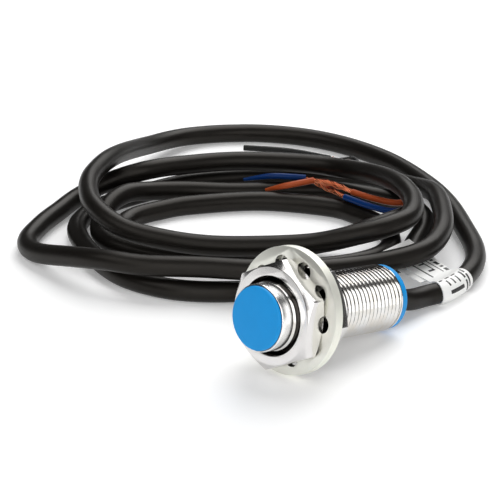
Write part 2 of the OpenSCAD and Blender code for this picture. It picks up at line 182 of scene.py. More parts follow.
class Shading(Nodes):
    """The node tree of one material."""

    def __init__(self, name: str) -> None:
        """Makes an empty material with a Principled shader and Object coordinates.

        Args:
            name: name of the material.
        """
        self.material = bpy.data.materials.new(name)
        self.material.use_nodes = True
        super().__init__(self.material.node_tree)
        self.shader = self.tree.nodes["Principled BSDF"]
        self.place = self.node("ShaderNodeTexCoord").outputs["Object"]

    def set(self, **values: object) -> None:
        """Sets constant inputs of the shader, named with underscores for spaces."""
        for name, value in values.items():
            self.shader.inputs[name.replace("_", " ")].default_value = value

    def link(self, source: Socket, target: str) -> None:
        """Joins a socket to one of the shader's inputs."""
        self.tree.links.new(source, self.shader.inputs[target])

    def noise(self, size: float, detail: float = 3.0) -> Socket:
        """Noise with cells of about that size in metres and that many finer octaves."""
        inputs = {"Vector": self.place, "Scale": 1.0 / size, "Detail": detail, "Roughness": NOISE_ROUGH}
        return self.node("ShaderNodeTexNoise", inputs).outputs["Fac"]

    def turned(self, matrix: Matrix, stretch: Sequence[float] = (1.0, 1.0, 1.0)) -> Socket:
        """Object coordinates seen in a frame of their own.

        Args:
            matrix: the frame, as a matrix to the row frame.
            stretch: scale of the coordinates along that frame's axes.

        Returns:
            The new coordinates.
        """
        mapping = self.node("ShaderNodeMapping", {"Vector": self.place}, vector_type="TEXTURE")
        mapping.inputs["Location"].default_value = matrix.to_translation()
        mapping.inputs["Rotation"].default_value = matrix.to_euler()
        scaled = self.node("ShaderNodeMapping", {"Vector": mapping.outputs[0], "Scale": stretch})
        return scaled.outputs[0]

    def ramp(self, value: Socket, limits: tuple[float, float], first: Colour, second: Colour) -> Socket:
        """Goes from one colour to another between two limits of a value.

        Args:
            value: the value to colour.
            limits: where the first colour ends and the second starts.
            first: colour below the limits.
            second: colour above them.

        Returns:
            The colour socket.
        """
        ramp = self.node("ShaderNodeValToRGB", {"Fac": value})
        for element, place, colour in zip(ramp.color_ramp.elements, limits, (first, second)):
            element.position = place
            element.color = (*colour, 1.0)
        return ramp.outputs["Color"]

    def blend(self, share: Socket, colour: Colour, tone: Socket) -> Socket:
        """Goes from a plain colour to a colour socket.

        Args:
            share: share of the socket, from 0 to 1.
            colour: the plain colour.
            tone: the colour socket.

        Returns:
            The blended colour socket.
        """
        mix = self.node("ShaderNodeMix", {"Factor": share}, data_type="RGBA")
        first, second = [socket for socket in mix.inputs if socket.type == "RGBA"]
        first.default_value = (*colour, 1.0)
        self.tree.links.new(tone, second)
        return next(socket for socket in mix.outputs if socket.type == "RGBA")

    def bump(self, height: Socket, distance: float, strength: float) -> None:
        """Feeds a height from 0 to 1 to the shader's normal, as relief of a depth in metres."""
        node = self.node("ShaderNodeBump", {"Height": height, "Distance": distance, "Strength": strength})
        self.link(node.outputs["Normal"], "Normal")


@dataclass(frozen=True)
class PlatedMetal:
    """Bright plated metal with faint tool marks and handling haze."""

    name: str
    tint: Colour
    haze: Colour
    smooth: float
    rough: float
    ring_pitch: float = 0.0
    ring_depth: float = 0.0
    recess_r: float = 0.0
    # Colour of the painted shade in the recess, in the band and on the sheared walls.
    painted_shade: Colour = (0.04, 0.036, 0.032)
    sheared: float = 0.0
    band: tuple = ()
    land_to: float = 0.0
    land_tint: Colour = (0.95, 0.95, 0.94)
    land_rough: float = 0.12
    cloud: float = 3.0 * MM
    grain: float = 0.35 * MM
    pits: float = 0.12 * MM
    pit_depth: float = 0.002 * MM
    relief: float = 0.35
    blot: float = 0.6 * MM
    ragged: float = 0.08 * MM
    soft: float = 0.05 * MM
    walls: tuple = (0.3, 0.6)
    ring_mix: float = 0.4
    hazed: tuple = (0.35, 0.75)

    def material(self) -> bpy.types.Material:
        """Builds the material; turned rings run round the sensor's axis and painted shade lies in the
        recess.

        Returns:
            The material.
        """
        shading = Shading(self.name)
        shading.set(Metallic=1.0)
        tone = shading.ramp(shading.noise(self.cloud), self.hazed, self.tint, self.haze)
        if self.land_to:
            behind = shading.math("GREATER_THAN", self.along(shading), self.land_to)
            tone = shading.blend(behind, self.land_tint, tone)
        # Painted shade: darker in the recess round the thread and in the band along the barrel.
        if self.recess_r or self.band:
            tone = self.paint_shade(shading, tone)
        shading.link(tone, "Base Color")
        polish = shading.span(shading.noise(self.grain, 4.0), self.smooth, self.rough)
        if self.sheared:
            polish = shading.math("ADD", polish, self.edge_on(shading))
        if self.land_to:
            plain = shading.math("LESS_THAN", self.along(shading), self.land_to)
            polish = shading.math("ADD", polish, shading.math("MULTIPLY", plain, self.land_rough))
        shading.link(polish, "Roughness")
        height = shading.noise(self.pits, 2.0)
        if self.ring_pitch:
            wave = {"Vector": shading.turned(SENSOR.matrix), "Scale": RING_SCALE / self.ring_pitch,
                    "Distortion": 0.6, "Detail": 2.0}
            rings = shading.node("ShaderNodeTexWave", wave, wave_type="RINGS", rings_direction="Y")
            pits = shading.math("MULTIPLY", height, self.ring_mix)
            height = shading.math("ADD", rings.outputs["Fac"], pits)
        shading.bump(height, self.ring_depth or self.pit_depth, self.relief)
        return shading.material

    def edge_on(self, shading: Shading) -> Socket:
        """Extra roughness of the sheared edges, which face away from the sensor's axis.

        Args:
            shading: the material's node tree.

        Returns:
            The roughness to add.
        """
        normal = shading.node("ShaderNodeTexCoord").outputs["Normal"]
        size = shading.math("ABSOLUTE", shading.dot(normal, SENSOR.axis))
        return shading.span(size, self.sheared, 0.0, *self.walls)

    def along(self, shading: Shading) -> Socket:
        """Distance behind the barrel's front."""
        return shading.node("ShaderNodeSeparateXYZ", {0: shading.turned(SENSOR.matrix)}).outputs["Y"]

    def step(self, shading: Shading, value: Socket, limit: float) -> Socket:
        """Soft step from 0 below a limit to 1 above it."""
        return shading.span(value, 0.0, 1.0, limit - self.soft, limit + self.soft)

    def paint_shade(self, shading: Shading, tone: Socket) -> Socket:
        """Paints shade on the metal inside the recess round the thread and in the band along the barrel.

        Args:
            shading: the material's node tree.
            tone: colour of the clean metal.

        Returns:
            The colour with the painted shade.
        """
        ragged = shading.span(shading.noise(self.blot), -self.ragged, self.ragged)
        unshaded = 1.0
        if self.recess_r:
            flat = shading.turned(SENSOR.matrix, (1.0, 0.0, 1.0))
            radius = shading.node("ShaderNodeVectorMath", {0: flat}, operation="LENGTH").outputs["Value"]
            unshaded = self.step(shading, shading.math("ADD", radius, ragged), self.recess_r)
        if self.band:
            start, end = self.band
            off = shading.math("ABSOLUTE", shading.math("SUBTRACT", self.along(shading), (start + end) / 2))
            unshaded = shading.math("MULTIPLY", unshaded, self.step(shading, off, (end - start) / 2))
        # On sheared metal only the walls inside the recess get the painted shade; flat faces stay unshaded.
        if self.sheared:
            wall = shading.math("DIVIDE", self.edge_on(shading), self.sheared)
            unshaded = shading.math("MAXIMUM", unshaded, shading.math("SUBTRACT", 1.0, wall))
        return shading.blend(unshaded, self.painted_shade, tone)


@dataclass(frozen=True)
class MouldedPlastic:
    """Smooth moulded or extruded plastic with a faint grain."""

    name: str
    colour: Colour
    shade: Colour
    smooth: float
    rough: float
    gloss: float = 0.5
    grain: float = 0.25 * MM
    relief: float = 0.004 * MM
    glint: Colour = (1.0, 1.0, 1.0)
    cloud: float = 2.5 * MM
    depth: float = 0.4
    ior: float = 1.5
    shaded: tuple = (0.3, 0.8)

    def material(self) -> bpy.types.Material:
        """Builds the material.

        Returns:
            The material.
        """
        shading = Shading(self.name)
        shading.set(IOR=self.ior, Specular_IOR_Level=self.gloss, Specular_Tint=(*self.glint, 1.0))
        tone = shading.ramp(shading.noise(self.cloud), self.shaded, self.colour, self.shade)
        shading.link(tone, "Base Color")
        fine = shading.noise(self.grain, 4.0)
        shading.link(shading.span(fine, self.smooth, self.rough), "Roughness")
        shading.bump(fine, self.relief, self.depth)
        return shading.material


@dataclass(frozen=True)
class PrintArea:
    """Plain printed bars on one side of the label, in its own frame."""

    frame: Matrix
    bars: tuple
    round_axis: bool = False

    def ink(self, shading: Shading) -> Socket:
        """Mask of the bars.

        Args:
            shading: the material's node tree.

        Returns:
            A value of 1 on each bar and 0 between them.
        """
        place = shading.node("ShaderNodeSeparateXYZ", {0: shading.turned(self.frame)}).outputs
        across = shading.math("ARCTAN2", place["Z"], place["Y"]) if self.round_axis else place["Y"]
        unit = math.radians(1.0) if self.round_axis else MM
        mask = None
        for start, end, low, high in self.bars:
            along = shading.math("COMPARE", place["X"], (start + end) / 2 * MM, (end - start) / 2 * MM)
            beside = shading.math("COMPARE", across, (low + high) / 2 * unit, (high - low) / 2 * unit)
            bar = shading.math("MULTIPLY", along, beside)
            mask = bar if mask is None else shading.math("MAXIMUM", mask, bar)
        return mask


@dataclass(frozen=True)
class LabelFilm:
    """White film with plain bars in place of print."""

    name: str
    areas: tuple
    paper: Colour = (0.96, 0.96, 0.94)
    ink: Colour = (0.015, 0.015, 0.015)
    rough: float = 0.4
    wear: float = 0.25 * MM
    grain: float = 0.3 * MM
    relief: float = 0.003 * MM
    depth: float = 0.3
    worn: tuple = (0.75, 1.1)
    printed: tuple = (0.3, 0.7)

    def material(self) -> bpy.types.Material:
        """Builds the material.

        Returns:
            The material.
        """
        shading = Shading(self.name)
        ink = shading.math("MAXIMUM", *[area.ink(shading) for area in self.areas])
        worn = shading.math("MULTIPLY", ink, shading.span(shading.noise(self.wear), *self.worn))
        shading.link(shading.ramp(worn, self.printed, self.paper, self.ink), "Base Color")
        shading.set(Roughness=self.rough)
        shading.bump(shading.noise(self.grain), self.relief, self.depth)
        return shading.material


Finish = PlatedMetal | MouldedPlastic | LabelFilm
# The barrel's thread roots inside recess_r and the band of thread just behind the front nut's face get
# painted shade.
NICKEL = PlatedMetal("nickel_thread", (0.77, 0.765, 0.755), (0.70, 0.66, 0.60), 0.08, 0.15,
                     recess_r=5.62 * MM, band=(NUT_FACE + 0.4 * MM, NUT_FACE + 1.4 * MM), land_to=2.6 * MM)
# recess_r paints shade in the nuts' countersinks round the thread.
NUT_LOOK = {
    "tint": (0.73, 0.715, 0.705), "haze": (0.69, 0.675, 0.665), "smooth": 0.13, "rough": 0.22,
    "ring_pitch": 0.18 * MM, "ring_depth": 0.001 * MM, "recess_r": 6.85 * MM,
}
NUT_NICKEL = PlatedMetal("nickel_nut", **NUT_LOOK)
# The rear nut's band is a painted contact shadow along its front edge, against the rear washer.
REAR_NUT_NICKEL = PlatedMetal("nickel_rear_nut", **NUT_LOOK,
                              band=(REAR_NUT_FACE - 0.2 * MM, REAR_NUT_FACE + 0.1 * MM))
# Painted shade on the teeth's sheared walls inside 9.4 mm darkens the gaps between the teeth.
ZINC = PlatedMetal("zinc_washer", (0.89, 0.89, 0.82), (0.86, 0.86, 0.79), 0.34, 0.40, recess_r=9.4 * MM,
                   painted_shade=(0.06, 0.056, 0.05), sheared=0.25)
COPPER = PlatedMetal("bare_copper", (0.78, 0.28, 0.14), (0.46, 0.12, 0.05), 0.12, 0.22)
CRIMP = PlatedMetal("crimp_sleeve", (0.62, 0.62, 0.63), (0.55, 0.55, 0.55), 0.25, 0.4)
FACE_BLUE = MouldedPlastic("face_blue", (0.0085, 0.33, 0.80), (0.0075, 0.31, 0.76), 0.40, 0.50, 0.25)
JACKET = MouldedPlastic("cable_jacket", (0.0042, 0.0034, 0.0028), (0.0062, 0.0050, 0.0041), 0.34, 0.44,
                        0.26, 0.4 * MM, 0.01 * MM, (1.0, 0.94, 0.86))
BROWN = MouldedPlastic("brown_insulation", (0.42, 0.075, 0.016), (0.34, 0.055, 0.012), 0.30, 0.42, 0.25)
BLUE = MouldedPlastic("blue_insulation", (0.001, 0.030, 0.15), (0.001, 0.022, 0.11), 0.26, 0.38, 0.15)
BLACK = MouldedPlastic("black_insulation", (0.004, 0.004, 0.004), (0.006, 0.006, 0.005), 0.3, 0.42, 0.25)
CORE_FINISH = {CoreColour.BROWN: BROWN, CoreColour.BLUE: BLUE, CoreColour.BLACK: BLACK}
FERRITE = MouldedPlastic("ferrite", (0.06, 0.06, 0.065), (0.08, 0.08, 0.085), 0.55, 0.7)
BOBBIN = MouldedPlastic("bobbin", (0.78, 0.76, 0.64), (0.74, 0.72, 0.6), 0.4, 0.55)
BOARD = MouldedPlastic("solder_mask", (0.03, 0.22, 0.09), (0.025, 0.18, 0.07), 0.25, 0.4)
CHIP = MouldedPlastic("chip_package", (0.03, 0.03, 0.03), (0.04, 0.04, 0.04), 0.5, 0.65)
CERAMIC = MouldedPlastic("chip_ceramic", (0.5, 0.36, 0.22), (0.45, 0.32, 0.2), 0.35, 0.5)
LENS = MouldedPlastic("indicator_lens", (0.9, 0.6, 0.1), (0.86, 0.56, 0.08), 0.1, 0.2)


class Paint:
    """Keeps one material for each finish."""

    made: dict[str, bpy.types.Material] = {}

    @classmethod
    def of(cls, finish: Finish) -> bpy.types.Material:
        """Material of a finish, built on first use."""
        if finish.name not in cls.made:
            cls.made[finish.name] = finish.material()
        return cls.made[finish.name]


def put(data: bpy.types.ID) -> Piece:
    """Puts an object in the scene, under its data's name.

    Args:
        data: its mesh, curve, camera or lamp.

    Returns:
        The new object.
    """
    piece = bpy.data.objects.new(data.name, data)
    bpy.context.scene.collection.objects.link(piece)
    return piece


def add_piece(data: bpy.types.ID, slot: str, finish: Finish, nodes: Iterable[str] = (),
              body: Body = Body.SENSOR) -> Piece:
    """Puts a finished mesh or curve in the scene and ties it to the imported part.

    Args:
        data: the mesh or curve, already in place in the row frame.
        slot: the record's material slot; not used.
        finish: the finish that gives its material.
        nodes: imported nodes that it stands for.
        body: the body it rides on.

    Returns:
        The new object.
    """
    data.materials.clear()
    data.materials.append(Paint.of(finish))
    piece = put(data)
    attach(piece, body.value)
    if nodes:
        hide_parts(*nodes)
    LOG.info("%s rides on %s", piece.name, body.value)
    return piece


def close_mesh(bm: Shape, name: str, matrix: Matrix, crisp: float = 35.0) -> bpy.types.Mesh:
    """Merges doubles, points faces outwards and smooths all but the sharp edges.

    Args:
        bm: the shape, in its own frame; it is freed.
        name: name of the mesh.
        matrix: place of the shape in the row frame.
        crisp: edges sharper than this are not smoothed, in degrees.

    Returns:
        The finished mesh.
    """
    bmesh.ops.remove_doubles(bm, verts=bm.verts, dist=WELD)
    bmesh.ops.recalc_face_normals(bm, faces=bm.faces)
    bm.transform(matrix)
    mesh = bpy.data.meshes.new(name)
    bm.to_mesh(mesh)
    bm.free()
    mesh.shade_smooth()
    mesh.set_sharp_from_angle(angle=math.radians(crisp))
    return mesh


def add_profile(bm: Shape, points: Profile, closed: bool) -> list:
    """Draws a profile of radius and distance along the axis.

    Args:
        bm: the bmesh to draw in.
        points: radius and distance of each corner.
        closed: whether the last corner joins the first.

    Returns:
        The new vertices and edges.
    """
    verts = [bm.verts.new((radius, along, 0.0)) for radius, along in points]
    ends = verts[1:] + verts[:1] if closed else verts[1:]
    return verts + [bm.edges.new(pair) for pair in zip(verts, ends)]


def turn(bm: Shape, points: Profile, closed: bool) -> None:
    """Turns an open or closed profile right round the sensor's axis."""
    geom = add_profile(bm, points, closed)
    bmesh.ops.spin(bm, geom=geom, cent=(0, 0, 0), axis=(0, 1, 0), angle=2 * math.pi,
                   steps=ROUND_STEPS, use_merge=True)


def arc(centre: tuple[float, float], radius: float, start: float, end: float, steps: int = 6) -> list:
    """Points of an arc in a profile; angles are in degrees, from the outward side to the rear."""
    angles = [math.radians(start + (end - start) * k / steps) for k in range(steps + 1)]
    return [(centre[0] + radius * math.cos(a), centre[1] + radius * math.sin(a)) for a in angles]


@dataclass
class Barrel:
    """Turned barrel: plain front land, outside thread and rear chamfer."""

    thread_r: float = 6.0 * MM
    root_r: float = 5.46 * MM
    bore_r: float = 5.0 * MM
    land_r: float = 5.8 * MM
    land_l: float = 2.5 * MM
    length: float = BARREL_L
    band_l: float = 0.6 * MM
    chamfer: float = 0.3 * MM
    pitch: float = 1.0 * MM
    crest: float = 0.20 * MM
    root: float = 0.12 * MM
    edge: float = 0.04 * MM
    lip: float = 0.3 * MM
    step_l: float = 0.2 * MM
    near: float = 0.001 * MM
    weld: float = 0.002 * MM
    snap: float = 1e-8
    crisp: float = 28.0

    def tooth(self) -> list[tuple[float, float]]:
        """Draws one thread, from root to root.

        Returns:
            Radius and distance of each corner.
        """
        flank = (self.pitch - self.crest - self.root) / 2
        top = self.root + flank
        return [
            (self.root_r, 0.0),
            (self.root_r, self.root),
            (self.thread_r - self.edge, top - self.edge / 2),
            (self.thread_r, top + self.edge),
            (self.thread_r, top + self.crest - self.edge),
            (self.thread_r - self.edge, top + self.crest + self.edge / 2),
        ]

    def cut_thread(self, bm: Shape) -> None:
        """Sweeps the row of teeth one turn and one pitch, trims both ends and closes them on the bore.

        Args:
            bm: the bmesh to draw in.
        """
        first = self.land_l - 2 * self.pitch
        turns = math.ceil((self.length - first) / self.pitch) + 1
        points = [(r, first + k * self.pitch + s) for k in range(turns) for r, s in self.tooth()]
        bmesh.ops.spin(bm, geom=add_profile(bm, points, False), cent=(0, 0, 0), axis=(0, 1, 0),
                       dvec=(0, self.pitch / ROUND_STEPS, 0), angle=2 * math.pi, steps=ROUND_STEPS,
                       use_merge=False)
        bmesh.ops.remove_doubles(bm, verts=bm.verts, dist=self.weld)
        ends = (self.land_l + self.edge, self.length - self.band_l + self.edge)
        for place, side in zip(ends, (-1, 1)):
            geom = bm.verts[:] + bm.edges[:] + bm.faces[:]
            bmesh.ops.bisect_plane(bm, geom=geom, dist=self.snap, plane_co=(0, place, 0),
                                   plane_no=(0, side, 0), clear_outer=True)
        rims = []
        for place in ends:
            open_edges = [e for e in bm.edges if e.is_boundary]
            rim = [e for e in open_edges if all(abs(v.co.y - place) < self.near for v in e.verts)]
            made = bmesh.ops.extrude_edge_only(bm, edges=rim)["geom"]
            for vert in (v for v in made if isinstance(v, bmesh.types.BMVert)):
                inward = self.bore_r / math.hypot(vert.co.x, vert.co.z)
                vert.co = (vert.co.x * inward, vert.co.y, vert.co.z * inward)
            rims += [e for e in made if isinstance(e, bmesh.types.BMEdge)]
        bmesh.ops.bridge_loops(bm, edges=rims)

    def build(self) -> None:
        """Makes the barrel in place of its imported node."""
        bm = bmesh.new()
        self.cut_thread(bm)
        step = self.land_l + self.step_l
        land = [(self.bore_r, 0.0), *arc((self.land_r - self.lip, self.lip), self.lip, -90, 0),
                (self.land_r, self.land_l), (self.root_r, step), (self.bore_r, step)]
        turn(bm, land, True)
        back = self.length - self.band_l
        inside = self.root_r - self.edge
        tail = [(self.bore_r, back), (inside, back), (inside, back + self.edge),
                (self.thread_r - self.edge, back + 3 * self.edge), (self.thread_r, back + 4 * self.edge),
                (self.thread_r, self.length - self.chamfer), (self.thread_r - self.chamfer, self.length),
                (self.bore_r, self.length)]
        turn(bm, tail, True)
        mesh = close_mesh(bm, "threaded_barrel", SENSOR.matrix, self.crisp)
        add_piece(mesh, "nickel_brass", NICKEL, ["barrel"])


def add_moulding(name: str, profile: Profile, closed: bool, node: str) -> None:
    """Turns a blue moulding of the sensor.

    Args:
        name: name of the piece.
        profile: radius and distance of each corner.
        closed: whether the profile is a loop.
        node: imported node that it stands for.
    """
    bm = bmesh.new()
    turn(bm, profile, closed)
    add_piece(close_mesh(bm, name, SENSOR.matrix), "blue_plastic", FACE_BLUE, [node])


@dataclass
class FaceCap:
    """Blue sensing face with a rounded front edge and a skirt inside the barrel."""

    radius: float = 5.5 * MM
    proud: float = 0.6 * MM
    corner: float = 0.4 * MM
    skirt_r: float = 4.95 * MM
    skirt_l: float = 5.0 * MM
    wall: float = 0.6 * MM

    def build(self) -> None:
        """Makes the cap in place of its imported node."""
        front = arc((self.radius - self.corner, self.corner - self.proud), self.corner, -90, 0, 8)
        inner = self.skirt_r - self.wall
        skirt = [(self.skirt_r, 0.0), (self.skirt_r, self.skirt_l), (inner, self.skirt_l)]
        hollow = [(inner, self.wall), (0.0, self.wall)]
        profile = [(0.0, -self.proud), *front, (self.radius, 0.0), *skirt, *hollow]
        add_moulding("sensing_face", profile, False, "face_cap")


@dataclass
class RearPlug:
    """Blue rear plug: a flange behind the barrel with a rounded edge and a cable hole."""

    flange_r: float = 5.86 * MM
    flange_t: float = 1.3 * MM
    corner: float = 0.35 * MM
    skirt_r: float = 4.95 * MM
    skirt_l: float = 3.0 * MM
    hole_r: float = 2.05 * MM

    def build(self) -> None:
        """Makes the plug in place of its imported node."""
        end = BARREL_L + self.flange_t
        corner = arc((self.flange_r - self.corner, end - self.corner), self.corner, 0, 90)
        start = BARREL_L - self.skirt_l
        profile = [(self.hole_r, start), (self.skirt_r, start), (self.skirt_r, BARREL_L),
                   (self.flange_r, BARREL_L), *corner, (self.hole_r, end)]
        add_moulding("rear_plug_moulding", profile, True, "rear_plug")


@dataclass
class SoftEdged:
    """Copy of a packed metal piece with its edges rounded over."""

    node: str
    name: str
    body: Body
    slot: str
    finish: PlatedMetal
    rounding: float
    least_angle: float = 20.0
    flat_angle: float = 1.0
    segments: int = 3
    crisp: float = 40.0

    def build(self) -> None:
        """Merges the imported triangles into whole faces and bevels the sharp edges."""
        bm = bmesh.new()
        bm.from_mesh(frame["nodes"][self.node].data)
        bmesh.ops.remove_doubles(bm, verts=bm.verts, dist=WELD)
        bmesh.ops.dissolve_limit(bm, angle_limit=math.radians(self.flat_angle), verts=bm.verts,
                                 edges=bm.edges, use_dissolve_boundaries=False, delimit=set())
        least = math.radians(self.least_angle)
        sharp = [e for e in bm.edges if e.is_manifold and e.calc_face_angle() > least]
        bmesh.ops.bevel(bm, geom=sharp, offset=self.rounding, offset_type="OFFSET", affect="EDGES",
                        segments=self.segments, profile=0.5, material=-1, clamp_overlap=True)
        mesh = close_mesh(bm, self.name, Matrix.Identity(4), self.crisp)
        add_piece(mesh, self.slot, self.finish, [self.node], self.body)


LEAD_STATIONS = (
    (0.2, 3.2, 4.5), (0.45, 7, 3), (0.5, 11.5, 2.25), (1.6, 17.5, 2.3), (-1, 27, 2.3), (-6.5, 35, 2)
)
COIL_STATIONS = (
    (-16, 43, 2), (-25.5, 50, 2), (-36, 55.5, 2), (-50, 60, 2), (-64, 60.5, 2), (-76, 57, 2),
    (-86, 49.5, 2), (-91.5, 39, 2.5), (-89.5, 26, 4.5), (-80.5, 8, 9.2), (-74, -3.5, 10.2), (-68, -10, 10),
    (-61, -14, 9.3), (-52.5, -14.5, 7.8), (-44.5, -11, 6.8), (-37, -6.5, 6.5), (-29, -0.5, 7),
    (-21.5, 5.5, 8), (-16, 10.5, 9.8), (-12.5, 16, 11), (-12.8, 22.5, 11.1), (-17.5, 29, 11.1),
    (-24.5, 33.5, 11.1), (-34, 37.5, 9.5), (-46, 40, 7), (-54.5, 37.5, 6.5), (-65, 29, 6.5),
    (-71.3, 19.8, 6.5), (-74.2, 11.4, 6.8), (-79, 5.4, 4.7), (-81.2, -1.3, 2.6), (-79, -9, 2),
    (-75.6, -16.9, 2), (-71.2, -23.4, 2), (-65, -25.9, 2.5), (-54.4, -26.1, 5), (-46.4, -25.1, 6.5),
    (-39.4, -21.6, 6.5), (-31.5, -15, 6.5), (-23, -8.5, 6.5), (-14.5, 0, 6.5), (-9.5, 9, 6.5),
    (-7, 19, 6.5), (-9.3, 27.2, 6.5), (-14.8, 35.2, 6.5), (-25.3, 45.2, 5.8), (-36, 50.5, 3),
    (-46, 50.5, 2), (-53, 46, 2), (-59, 39.5, 2), (-66.5, 30, 2), (-71.8, 21, 2), (-74, 11.8, 2),
    (-75, 3, 2), (-74, -5, 2), (-69.8, -11.8, 2), (-62.1, -16.6, 2), (-54, -19.5, 2), (-46.5, -21, 2),
    (-39, -20, 2), (-32.5, -17, 2), (-26, -11, 2), (-20.2, -2.7, 2), (-16.8, 6, 2), (-14.2, 14.6, 2),
    (-13.6, 22.3, 2), (-17.2, 29.6, 2), (-20.1, 35.5, 2), (-23.4, 40, 2), (-28, 43, 2), (-33, 43.8, 2),
    (-38.5, 42.5, 2), (-46, 39.5, 2), (-52.5, 34, 2), (-61, 23.5, 2.2), (-67.5, 15.5, 3), (-70.5, 8.5, 4),
    (-71, 2.5, 5), (-70, -3, 4.5), (-67.6, -7.3, 3.1), (-64, -10.5, 2), (-58, -12, 2), (-50, -10, 2),
    (-41.5, -5.5, 2), (-33, 0.5, 2), (-23.8, 6.3, 2), (-19.5, 13, 2), (-18, 19.3, 2), (-19.4, 24.8, 2),
    (-23.2, 29, 2), (-28.5, 31.8, 2), (-35, 32.5, 2), (-42, 31.5, 2), (-54, 24, 2), (-62.5, 12.5, 2),
    (-65, 6, 2), (-66, 0, 2), (-64.4, -4.3, 2), (-60.5, -7, 2), (-55.5, -7, 2), (-50.5, -4.3, 2),
    (-43, 1, 2), (-36.3, 7, 2), (-31.3, 13.3, 2.2), (-26.3, 18.3, 3.7), (-22.3, 22.4, 5.8),
    (-20.6, 27.3, 6.5), (-20.4, 32.3, 6.5)
)
EXIT = SENSOR.at(PLUG_END)


def on_floor(station: Sequence[float]) -> Vector:
    """Point of a route: x and z from the floor frame and y from the cable's exit, in millimetres."""
    return Vector((station[0] * MM, EXIT.y + station[1] * MM, station[2] * MM))


def round_curve(name: str, radius: float, sides: int) -> bpy.types.Curve:
    """Empty curve with a round section and closed ends.

    Args:
        name: name of the curve.
        radius: radius of the section.
        sides: fineness of the round.

    Returns:
        The curve, without splines.
    """
    data = bpy.data.curves.new(name, "CURVE")
    data.dimensions = "3D"
    data.bevel_depth = radius
    data.bevel_resolution = sides
    data.use_fill_caps = True
    return data


class SmoothRoute:
    """Smooth line through chosen points that stays above the floor."""

    def __init__(self, points: Line, low: float) -> None:
        """Keeps the points and works out their tangents.

        Args:
            points: the points that the line passes.
            low: least height of the line.
        """
        self.points = list(points)
        self.low = low
        before = [2 * points[0] - points[1], *points[:-1]]
        after = [*points[1:], 2 * points[-1] - points[-2]]
        self.tangents = [(b - a) / 2 for a, b in zip(before, after)]

    def lifted(self, point: Vector) -> Vector:
        """The point, no lower than the line may lie."""
        return Vector((point.x, point.y, max(point.z, self.low)))

    def handles(self) -> list[tuple[Vector, Vector, Vector]]:
        """Each point with the handles on its two sides."""
        pairs = zip(self.points, self.tangents)
        return [(self.lifted(p - t / 3), self.lifted(p), self.lifted(p + t / 3)) for p, t in pairs]

    def sample(self, steps: int) -> list[Vector]:
        """Points along the line.

        Args:
            steps: number of chords for each span.

        Returns:
            The points, both ends included.
        """
        knots = self.handles()
        line = [knots[0][1]]
        for (_, a, b), (c, d, _) in zip(knots, knots[1:]):
            for k in range(1, steps + 1):
                t = k / steps
                u = 1 - t
                line.append(u ** 3 * a + 3 * u * u * t * b + 3 * u * t * t * c + t ** 3 * d)
        return line

    def length(self) -> float:
        """Length along the line."""
        line = self.sample(SPAN_STEPS)
        return sum((b - a).length for a, b in zip(line, line[1:]))

    def curve(self, name: str, radius: float, sides: int = 5, steps: int = 10) -> bpy.types.Curve:
        """Round cord along the line, as a curve of one spline.

        Args:
            name: name of the curve.
            radius: radius of the cord.
            sides: fineness of the round.
            steps: chords for each span.

        Returns:
            The curve.
        """
        data = round_curve(name, radius, sides)
        data.resolution_u = steps
        data.render_resolution_u = steps
        spline = data.splines.new("BEZIER")
        spline.bezier_points.add(len(self.points) - 1)
        for knot, (left, middle, right) in zip(spline.bezier_points, self.handles()):
            knot.handle_left_type = "FREE"
            knot.handle_right_type = "FREE"
            knot.handle_left = left
            knot.co = middle
            knot.handle_right = right
        return data


def cross_frame(line: Line, i: int) -> Matrix:
    """Frame across a line at one of its points: x to its right, y away from the floor, z ahead.

    Args:
        line: points of the line.
        i: index of the point.

    Returns:
        The frame, as a matrix to the row frame.
    """
    ahead = line[min(i + 1, len(line) - 1)] - line[max(i - 1, 0)]
    side = ahead.cross(UP).normalized()
    up = side.cross(ahead).normalized()
    turned = Matrix((side, up, ahead.normalized())).transposed().to_4x4()
    return Matrix.Translation(line[i]) @ turned


def around(line: Line, i: int, reach: float, angle: float) -> Vector:
    """Point off a line, at an angle round it from its right side, in radians."""
    return cross_frame(line, i) @ Vector((reach * math.cos(angle), reach * math.sin(angle), 0.0))


def sleeve(bm: Shape, line: Line, radius: float, sides: int) -> list:
    """Tube wall along a line, from circles joined in turn.

    Args:
        bm: the bmesh to draw in.
        line: points that the tube follows.
        radius: its radius.
        sides: number of faces round.

    Returns:
        The edge loops at the line's points.
    """
    loops = []
    for i in range(len(line)):
        made = bmesh.ops.create_circle(bm, segments=sides, radius=radius, matrix=cross_frame(line, i))
        loops.append(list({edge for vert in made["verts"] for edge in vert.link_edges}))
    for first, second in zip(loops, loops[1:]):
        bmesh.ops.bridge_loops(bm, edges=first + second)
    return loops


